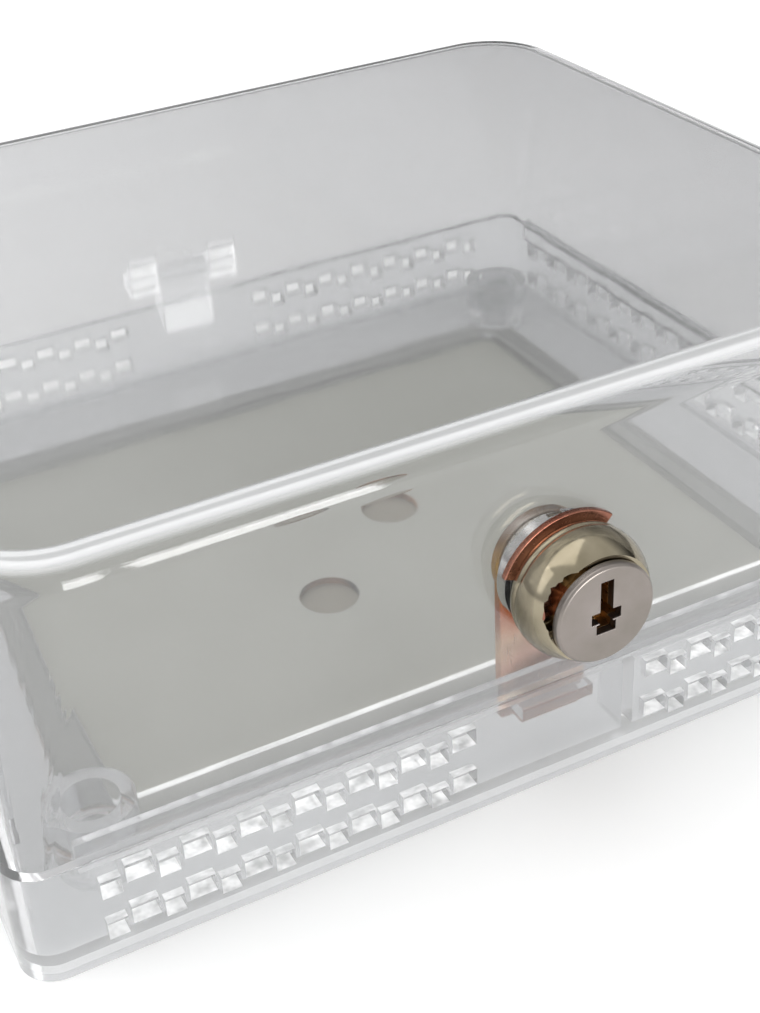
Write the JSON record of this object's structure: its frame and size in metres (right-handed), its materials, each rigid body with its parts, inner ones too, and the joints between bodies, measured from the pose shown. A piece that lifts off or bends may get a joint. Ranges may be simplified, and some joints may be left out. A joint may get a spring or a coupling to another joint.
{
  "type": "lockable clear guard box",
  "caption": "Clear box with a vented ring base over an opaque wall plate and a deep hinged cover held shut by a cam lock.",
  "frame": {"origin": "middle of the face that lies against the wall", "axes": "+X along the box's length, +Y towards the hinge and away from the lock, +Z away from the wall"},
  "size_m": [0.165, 0.1624, 0.0635],
  "materials": {
    "plate": "moulded opaque plastic with a fine matt grain",
    "clear_base": "clear moulded plastic, polished outside and slightly hazy at its vents",
    "clear_cover": "clear moulded plastic, polished",
    "pin_steel": "drawn steel",
    "nickel": "warm bright nickel plate",
    "key_face": "satin nickel with fine turning marks",
    "plug_brass": "turned brass",
    "wafer_brass": "stamped brass",
    "spring_steel": "drawn spring wire",
    "ring_copper": "copper-plated spring steel",
    "nut_nickel": "nickel plate",
    "washer_steel": "stamped plated steel",
    "cam_zinc": "iridescent yellow zinc plate",
    "screw_steel": "zinc-plated steel"
  },
  "bodies": {
    "base": {"wall_plate": "plate", "ring_base": "clear_base", "hinge_pin": "pin_steel"},
    "cover": {"cover": "clear_cover", "lock_shell": "nickel", "open_ring": "ring_copper", "lock_nut": "nut_nickel"},
    "plug": {"plug_cap": "key_face", "lock_plug": "plug_brass", "wafer_1": "wafer_brass", "wafer_2": "wafer_brass", "wafer_3": "wafer_brass", "wafer_4": "wafer_brass", "wafer_5": "wafer_brass", "wafer_spring_1": "spring_steel", "wafer_spring_2": "spring_steel", "wafer_spring_3": "spring_steel", "wafer_spring_4": "spring_steel", "wafer_spring_5": "spring_steel", "cam_washer": "washer_steel", "cam": "cam_zinc", "cam_screw": "screw_steel"}
  },
  "joints": [
    {"name": "cover_hinge", "type": "hinge", "parent": "base", "child": "cover", "pos_m": [0, 0.0765, 0.0232], "axis": [-1, 0, 0], "range_deg": [0, 110]},
    {"name": "lock_turn", "type": "hinge", "parent": "cover", "child": "plug", "pos_m": [0, -0.0735, 0.0365], "axis": [0, 1, 0], "range_deg": [0, 90]}
  ]
}
